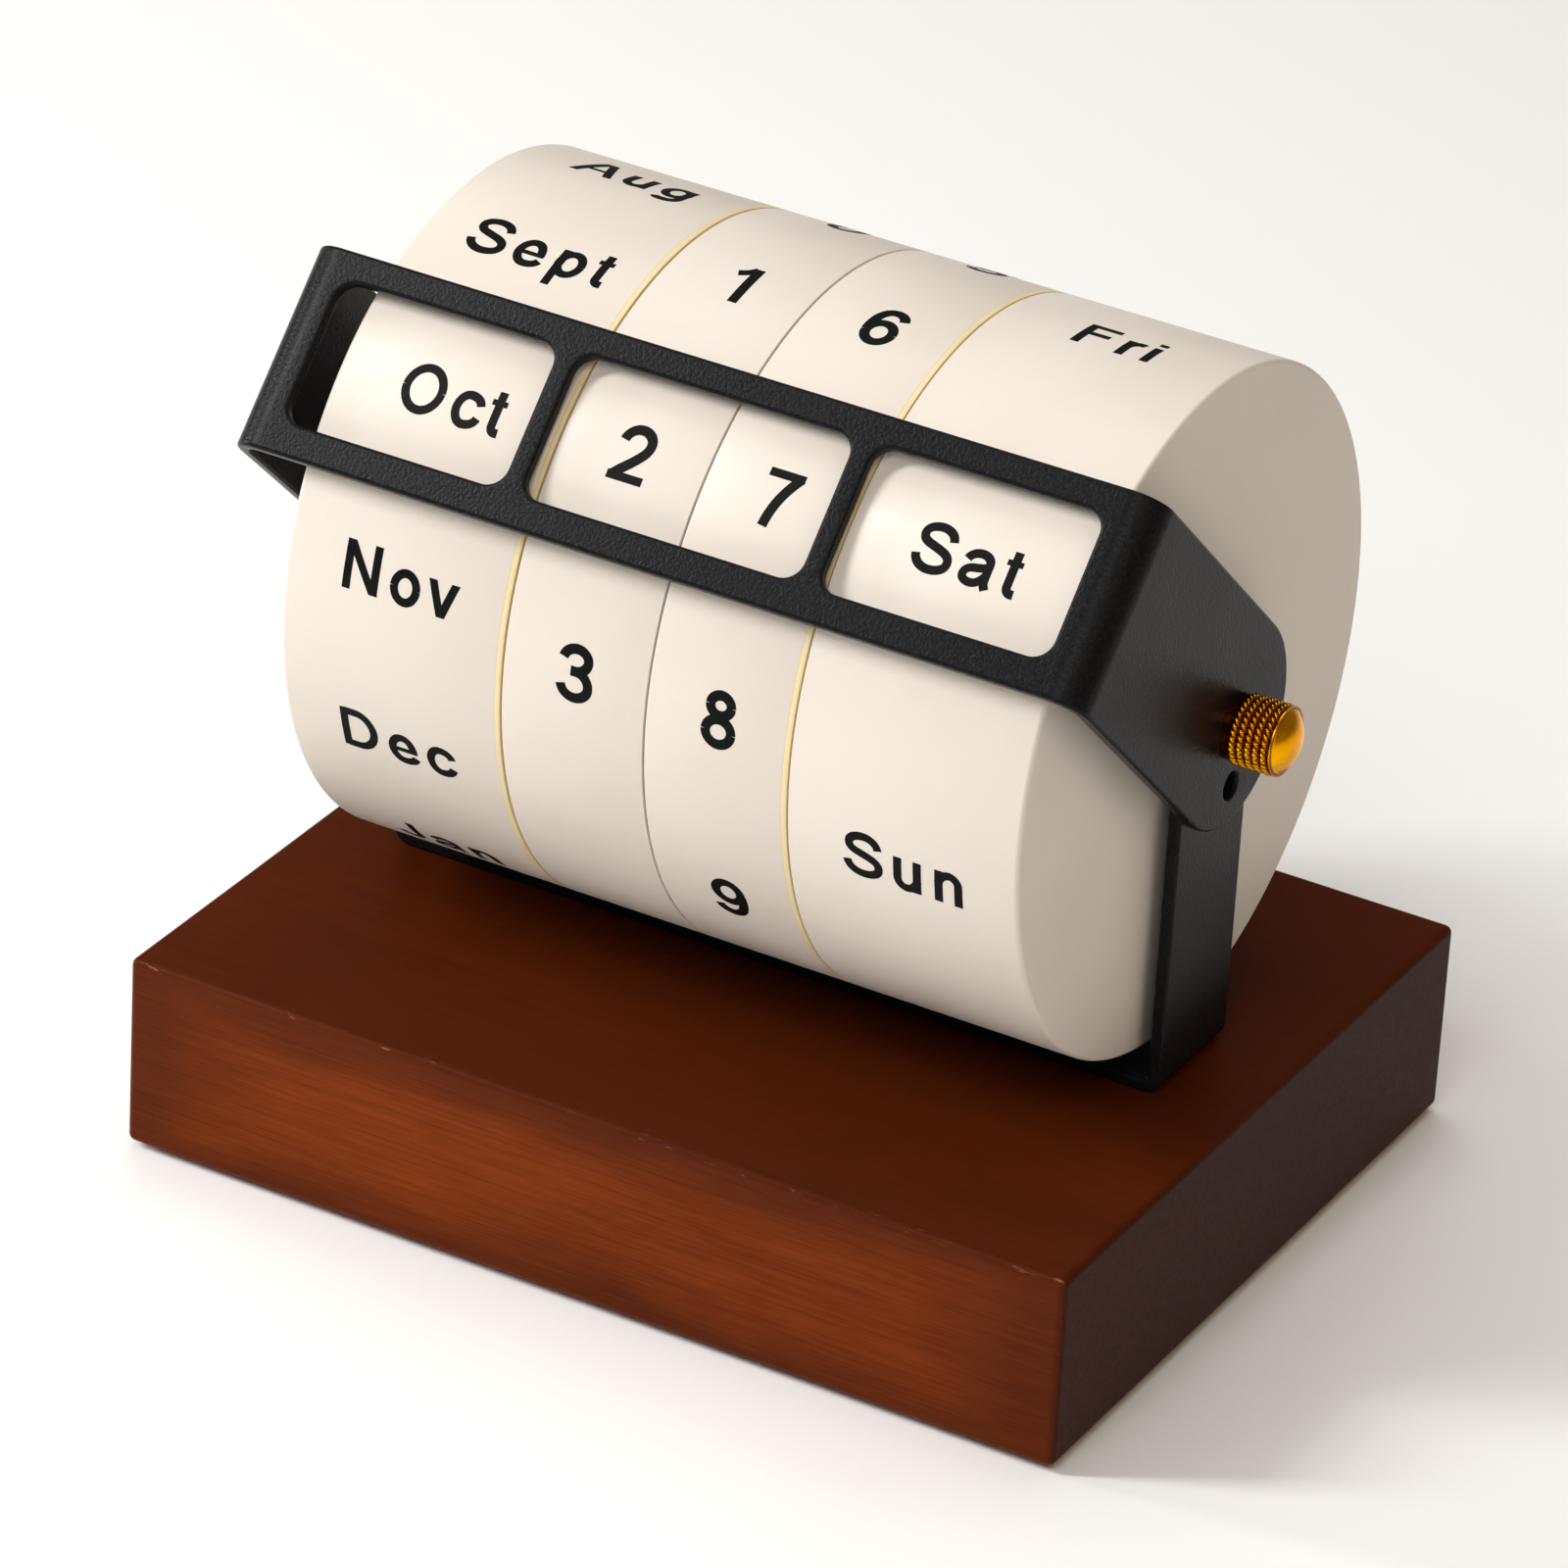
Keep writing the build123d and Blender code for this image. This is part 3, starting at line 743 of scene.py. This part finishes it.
def flow(*nodes):
    """Smooth path through (x, y, heading) nodes, the heading in degrees."""
    points = [Vector(nodes[0][:2])]
    for (x0, y0, a0), (x1, y1, a1) in zip(nodes, nodes[1:]):
        start, end = Vector((x0, y0)), Vector((x1, y1))
        reach = HANDLE * (end - start).length
        leave, arrive = math.radians(a0), math.radians(a1)
        first = start + reach * Vector((math.cos(leave), math.sin(leave)))
        second = end - reach * Vector((math.cos(arrive), math.sin(arrive)))
        steps = 1 if abs(a0 - a1) < 1 else CURVE_STEPS
        for k in range(1, steps + 1):
            t = k / steps
            u = 1 - t
            points.append(start * u**3 + first * 3 * u * u * t + second * 3 * u * t * t + end * t**3)
    return points


def stroke(points, width):
    """Outline of a path of the given width, cut square at both ends."""
    left, right = [], []
    for k, point in enumerate(points):
        before = points[max(k - 1, 0)]
        after = points[min(k + 1, len(points) - 1)]
        heading = (after - before).normalized()
        side = Vector((-heading.y, heading.x)) * width / 2
        left.append(point + side)
        right.append(point - side)
    return right + left[::-1]


def line(*nodes, width=STEM):
    """Stroke along a smooth path of (x, y, heading) nodes."""
    return stroke(flow(*nodes), width)


def bar(x0, x1, y0, y1):
    return [Vector(p) for p in ((x0, y0), (x1, y0), (x1, y1), (x0, y1))]


def stem(x, y0, y1):
    return bar(x - HALF, x + HALF, y0, y1)


def slant(x0, y0, x1, y1, width=STEM):
    """Straight stroke with level ends."""
    h = width / 2
    return [Vector(p) for p in ((x0 - h, y0), (x0 + h, y0), (x1 + h, y1), (x1 - h, y1))]


def bowl(x, y, rx, ry):
    """Closed ring, given by its outer half sizes, as two half strokes."""
    rx, ry = rx - HALF, ry - LEVEL / 2 - BOWL_INSET
    upper = line((x + rx, y, 90), (x, y + ry, 180), (x - rx, y, 270))
    lower = line((x - rx, y, 270), (x, y - ry, 360), (x + rx, y, 450))
    return [upper, lower]


def turned(glyph):
    """The glyph upside down."""
    strokes, advance = glyph
    return [[Vector((advance, 1)) - p for p in outline] for outline in strokes], advance


LEFT_STEM = 0.095 + HALF
RIGHT_STEM = 0.682 - HALF
LEFT_BOWL = 0.055 + HALF
ARCH = line((0.175, 0.42, 82), (0.41, UPPER, 0), (0.61, 0.46, -90), (0.61, 0, -90))

# Every character as its strokes and its advance.
GLYPHS = {
    "A": ([slant(0.088, 0, 0.43, 1, 1.06 * STEM), slant(0.844, 0, 0.502, 1, 1.06 * STEM),
           bar(0.22, 0.72, 0.27, 0.385)], 0.932),
    "D": ([stem(0.11 + HALF, 0, 1),
           line((0.2, TOP, 0), (0.46, TOP, 0), (0.928 - HALF, 0.5, -90),
                (0.46, 1 - TOP, -180), (0.2, 1 - TOP, -180))], 1.008),
    "F": ([stem(0.11 + HALF, 0, 1), bar(0.12, 0.79, 1 - LEVEL, 1),
           bar(0.12, 0.71, 0.455, 0.455 + LEVEL)], 0.853),
    "J": ([line((0.517, 1, -90), (0.517, 0.31, -90), (0.3, UNDER + 0.008, -180),
                (0.095, 0.3, -262))], 0.698),
    "M": ([stem(0.104 + HALF, 0, 1), stem(1.059 - HALF, 0, 1),
           slant(0.5815, 0, 0.19, 1), slant(0.5815, 0, 0.973, 1)], 1.163),
    "N": ([stem(0.106 + HALF, 0, 1), stem(0.902 - HALF, 0, 1),
           slant(0.815, 0, 0.193, 1, 1.12 * STEM)], 1.008),
    "O": (bowl(0.543, 0.5, 0.477, 0.518), 1.087),
    "S": ([line((0.775, 0.7, 97), (0.46, TOP + 0.004, 180), (0.155, 0.735, 270), (0.46, 0.525, 342),
                (0.795, 0.275, 270), (0.46, 1 - TOP - 0.004, 180), (0.115, 0.325, 96))], 0.932),
    "T": ([stem(0.4265, 0, 1), bar(0.03, 0.823, 1 - LEVEL, 1)], 0.853),
    "W": ([slant(0.37, 0, 0.095, 1), slant(0.37, 0, 0.66, 1),
           slant(0.95, 0, 0.66, 1), slant(0.95, 0, 1.224, 1)], 1.319),
    "a": ([line((0.125, 0.5, 72), (0.385, UPPER, 0), (0.6, 0.5, -90), (0.6, 0.17, -90), (0.665, 0, -62)),
           line((0.6, 0.43, 195), (0.34, 0.37, 186), (0.125, 0.2, 270), (0.32, UNDER + 0.008, 360),
                (0.59, 0.27, 420), width=0.94 * STEM)], COMMON),
    "b": (bowl(0.405, LOW / 2, 0.325, ROUND) + [stem(LEFT_STEM, 0, 1)], COMMON),
    "c": ([line((0.64, 0.49, 102), (0.372, UPPER, 180), (LEFT_BOWL, LOW / 2, 270),
                (0.372, UNDER, 360), (0.645, 0.245, 438))], 0.698),
    "d": (bowl(0.372, LOW / 2, 0.325, ROUND) + [stem(RIGHT_STEM, 0, 1)], COMMON),
    "e": ([line((0.71 - HALF, 0.32, 90), (0.385, UPPER, 180), (LEFT_BOWL, LOW / 2, 270),
                (0.39, UNDER, 360), (0.665, 0.205, 430)),
           bar(0.1, 0.7, 0.3, 0.405)], COMMON),
    "g": (bowl(0.372, LOW / 2, 0.325, ROUND)
          + [line((RIGHT_STEM, LOW, -90), (RIGHT_STEM, 0, -90), (0.37, TAIL + HALF, -180),
                  (0.13, -0.12, -255))], COMMON),
    "h": ([stem(LEFT_STEM, 0, 1), ARCH], COMMON),
    "i": ([stem(0.155, 0, LOW), stem(0.155, 0.858, 1)], 0.31),
    "l": ([stem(0.155, 0, 1)], 0.31),
    "n": ([stem(LEFT_STEM, 0, LOW), ARCH], COMMON),
    "o": (bowl(0.388, LOW / 2, 0.338, ROUND), COMMON),
    "p": (bowl(0.405, LOW / 2, 0.325, ROUND) + [stem(LEFT_STEM, TAIL, LOW)], COMMON),
    "r": ([stem(LEFT_STEM, 0, LOW),
           line((0.175, 0.38, 82), (0.4, UPPER - 0.004, 0), (0.47, UPPER - 0.02, -22))], 0.48),
    "t": ([line((0.2, 0.9, -90), (0.2, 0.19, -90), (0.31, UNDER + 0.012, 0), (0.375, UNDER + 0.016, 4)),
           bar(0.03, 0.365, LOW - 0.118, LOW)], 0.388),
    "u": ([stem(RIGHT_STEM, 0, LOW),
           line((0.17, LOW, -90), (0.17, 0.27, -90), (0.37, UNDER, 0), (0.605, 0.31, 82))], COMMON),
    "v": ([slant(0.35, 0, 0.09, LOW, 1.04 * STEM), slant(0.35, 0, 0.61, LOW, 1.04 * STEM)], 0.698),
    "y": ([slant(0.355, 0, 0.09, LOW, 1.04 * STEM),
           line((0.612, LOW, -110), (0.35, 0, -110), (0.19, TAIL + 0.075, -180),
                (0.08, TAIL + 0.085, -188))], 0.698),
    "0": (bowl(0.388, 0.5, 0.335, 0.515), COMMON),
    "1": ([stem(0.455, 0, 1), line((0.15, 0.76, 22), (0.42, 0.98, 62), width=0.86 * STEM)], COMMON),
    "2": ([line((0.13, 0.7, 84), (0.385, TOP + 0.008, 0), (0.635, 0.715, -90), (0.47, 0.41, -132),
                (0.13, 0.07, -128)),
           bar(0.045, 0.715, 0, LEVEL)], COMMON),
    "3": ([line((0.125, 0.745, 80), (0.375, TOP + 0.008, 0), (0.6, 0.745, -90), (0.36, 0.535, -180),
                (0.28, 0.535, -180)),
           line((0.28, 0.535, 0), (0.38, 0.535, 0), (0.635, 0.285, -90), (0.375, 1 - TOP - 0.008, -180),
                (0.11, 0.27, -260))], COMMON),
    "4": ([stem(0.535, 0, 1), bar(0.03, 0.745, 0.225, 0.345),
           slant(0.09, 0.29, 0.51, 1, 1.1 * STEM)], COMMON),
    "5": ([bar(0.19, 0.675, 1 - LEVEL, 1), slant(0.165, 0.47, 0.25, 1, 0.94 * STEM),
           line((0.16, 0.49, 36), (0.4, 0.61, 0), (0.64, 0.335, -90), (0.375, 1 - TOP - 0.008, -180),
                (0.115, 0.265, -258))], COMMON),
    "6": (bowl(0.398, 0.328, 0.325, 0.343)
          + [line((0.65, 0.745, 100), (0.42, TOP + 0.008, 180), (0.062 + HALF, 0.46, 270),
                  (0.062 + HALF, 0.34, 270))], COMMON),
    "7": ([bar(0.06, 0.72, 1 - LEVEL, 1), line((0.66, 0.94, -125), (0.285, 0, -97))], COMMON),
    "8": (bowl(0.388, 0.755, 0.285, 0.26) + bowl(0.388, 0.29, 0.33, 0.305), COMMON),
}
GLYPHS["9"] = turned(GLYPHS["6"])


def word_mesh(word, height, spacing):
    """One word of the given cap height, centred on the origin.

    It reaches as far below the drum's surface as above it, and it is sliced into level
    strips, so that it can follow the drum's curve.
    """
    outlines = []
    pen = 0.0
    for letter in word:
        strokes, advance = GLYPHS[letter]
        outlines += [[p + Vector((pen, 0)) for p in outline] for outline in strokes]
        pen += advance + spacing
    edges = [p.x for outline in outlines for p in outline]
    shift = (min(edges) + max(edges)) / 2
    points, faces = [], []
    for outline in outlines:
        faces.append(list(range(len(points), len(points) + len(outline))))
        points += [Vector((p.x - shift, p.y - 0.5)) * height for p in outline]
    places, _, triangles, _, _, owners = delaunay_2d_cdt(points, [], faces, 1, MERGE)
    bm = bmesh.new()
    verts = [bm.verts.new((p.x, p.y, -INK_THICKNESS)) for p in places]
    for corners, strokes_here in zip(triangles, owners):
        if strokes_here:
            bm.faces.new([verts[c] for c in corners])
    bmesh.ops.delete(bm, geom=[v for v in bm.verts if not v.link_faces], context="VERTS")
    for k in range(-INK_SLICES, INK_SLICES + 1):
        geometry = bm.verts[:] + bm.edges[:] + bm.faces[:]
        level = (0, k * INK_SLICE + INK_SLICE_SHIFT, 0)
        bmesh.ops.bisect_plane(bm, geom=geometry, plane_co=level, plane_no=(0, 1, 0), dist=MERGE)
    grown = bmesh.ops.extrude_face_region(bm, geom=bm.faces[:])
    lifted = [v for v in grown["geom"] if isinstance(v, bmesh.types.BMVert)]
    bmesh.ops.translate(bm, vec=(0, 0, 2 * INK_THICKNESS), verts=lifted)
    return bm


def lettering(name, words, height, spacing):
    """Raised ink wrapped round one drum, the first word at the reading angle."""
    centre = middle(name + "_drum_shell").x + LETTER_SHIFT[name]
    bm = bmesh.new()
    for k, word in enumerate(words):
        if not word:
            continue
        one = word_mesh(word, height, spacing)
        angle = math.radians(READ_ANGLE - 360 * k / len(words))
        for vertex in one.verts:
            x, y, z = vertex.co
            around = angle + y / DRUM_RADIUS
            radius = DRUM_RADIUS + z
            ahead, above = radius * math.cos(around), radius * math.sin(around)
            vertex.co = (centre + x, AXLE.y - ahead, AXLE.z + above)
        merged = bpy.data.meshes.new("merged")
        one.to_mesh(merged)
        one.free()
        bm.from_mesh(merged)
        bpy.data.meshes.remove(merged)
    finish_piece(name + "_lettering", bm, ink, name + "_drum", sharp=30)


block()
stand()
window_frame()
for name in ("month", "tens", "units", "weekday"):
    drum(name)
for name in ("month", "units"):
    full_cap(name)
for side in ("left", "right"):
    knob(side)
lettering("month", MONTHS, WORD_HEIGHT, WORD_SPACING)
lettering("tens", TENS, DIGIT_HEIGHT, 0.0)
lettering("units", UNITS, DIGIT_HEIGHT, 0.0)
lettering("weekday", WEEKDAYS, WORD_HEIGHT, WORD_SPACING)

# ---------------------------------------------------------------- CAD nodes that stay
kept = {
    "base_felt": felt,
    "bracket_screws": steel,
    "axle": steel,
    "retaining_clips": steel,
    "spring_washer": steel,
    "drum_washers": nylon,
    "thrust_bush": nylon,
    "friction_washer": nylon,
    "month_drum_hub": nylon,
    "tens_drum_hub": nylon,
    "units_drum_hub": nylon,
    "weekday_drum_hub": nylon,
    "tens_drum_cap": cream,
    "weekday_drum_cap": cream,
    "frame_spacer": powder,
    "clamp_washer_left": brass,
    "clamp_washer_right": brass,
}
for node, material in kept.items():
    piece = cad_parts[node]
    piece.data.materials.clear()
    piece.data.materials.append(material)

# ---------------------------------------------------------------- floor, light and camera
floor_paint = Paint("studio_floor", roughness=0.9, specular_ior_level=0.1)
floor_cloud = floor_paint.noise((4, 4, 4))
floor_paint.colour(floor_paint.mix(floor_cloud, rgb(253, 253, 253), rgb(255, 255, 255)))
bpy.ops.mesh.primitive_plane_add(size=8.0, location=(0, 0, 0))
floor = bpy.context.object
floor.name = "studio_floor"
floor.data.materials.append(floor_paint.material)

LIGHT_AIM_HEIGHT = 0.06


def area_light(name, azimuth, elevation, distance, width, height, watts, colour):
    """Softbox aimed at the object, in metres; azimuth 0 is the front and 90 the right."""
    light = bpy.data.lights.new(name, "AREA")
    light.shape = "RECTANGLE"
    light.size = width
    light.size_y = height
    light.energy = watts
    light.color = colour
    lamp = bpy.data.objects.new(name, light)
    bpy.context.scene.collection.objects.link(lamp)
    a, e = math.radians(azimuth), math.radians(elevation)
    aim = Vector((0, 0, LIGHT_AIM_HEIGHT))
    offset = Vector((math.sin(a) * math.cos(e), -math.cos(a) * math.cos(e), math.sin(e))) * distance
    lamp.location = aim + offset
    lamp.rotation_euler = (-offset).to_track_quat("-Z", "Y").to_euler()


area_light("left_window", -56, 38, 1.2, 0.16, 0.5, 8.5, (1.0, 0.995, 0.985))
area_light("left_low", -79, 13, 1.2, 0.12, 0.3, 4.0, (1.0, 0.995, 0.985))
area_light("front", 12, 44, 1.7, 0.9, 0.6, 8.0, (1.0, 0.985, 0.965))
area_light("back_top", -150, 74, 1.5, 0.8, 0.8, 6.0, (1.0, 0.995, 0.99))
area_light("right_top", 70, 50, 1.5, 0.4, 0.5, 1.8, (1.0, 0.8, 0.56))

# Dim surroundings, white on the left and warm on the right.
world = bpy.data.worlds.new("studio")
bpy.context.scene.world = world
world.use_nodes = True
sky = world.node_tree.nodes
links = world.node_tree.links
split = sky.new("ShaderNodeSeparateXYZ")
links.new(sky.new("ShaderNodeTexCoord").outputs["Generated"], split.inputs[0])
blend = sky.new("ShaderNodeMapRange")
links.new(split.outputs[0], blend.inputs["Value"])
blend.inputs["From Min"].default_value = -0.6
blend.inputs["From Max"].default_value = 0.7
tint = sky.new("ShaderNodeMix")
tint.data_type = "RGBA"
links.new(blend.outputs["Result"], tint.inputs["Factor"])
tint.inputs[COLOUR_A].default_value = (1.0, 0.99, 0.98, 1)
tint.inputs[COLOUR_B].default_value = (0.8, 0.64, 0.44, 1)
links.new(tint.outputs[COLOUR_OUT], sky["Background"].inputs["Color"])
sky["Background"].inputs["Strength"].default_value = 0.22

CAMERA_AZIMUTH = math.radians(28.43)
CAMERA_ELEVATION = math.radians(29.03)
CAMERA_ROLL = math.radians(3.343)
CAMERA_DISTANCE = 1.315
CAMERA_LENS = 215.14
CAMERA_SENSOR = 36
CAMERA_TARGET = Vector((-0.00197, -0.00357, 0.05752))

forward = Vector((
    -math.sin(CAMERA_AZIMUTH) * math.cos(CAMERA_ELEVATION),
    math.cos(CAMERA_AZIMUTH) * math.cos(CAMERA_ELEVATION),
    -math.sin(CAMERA_ELEVATION),
))
level = Vector((math.cos(CAMERA_AZIMUTH), math.sin(CAMERA_AZIMUTH), 0))
upright = level.cross(forward)
right = level * math.cos(CAMERA_ROLL) + upright * math.sin(CAMERA_ROLL)
camera_data = bpy.data.cameras.new("camera")
camera_data.sensor_width = CAMERA_SENSOR
camera_data.lens = CAMERA_LENS
camera = bpy.data.objects.new("camera", camera_data)
bpy.context.scene.collection.objects.link(camera)
rotation = Matrix((right, right.cross(forward), -forward)).transposed()
camera.matrix_world = Matrix.Translation(CAMERA_TARGET - forward * CAMERA_DISTANCE) @ rotation.to_4x4()
bpy.context.scene.camera = camera
bpy.context.scene.view_settings.view_transform = "Standard"

# ---------------------------------------------------------------- end
bpy.context.view_layer.update()
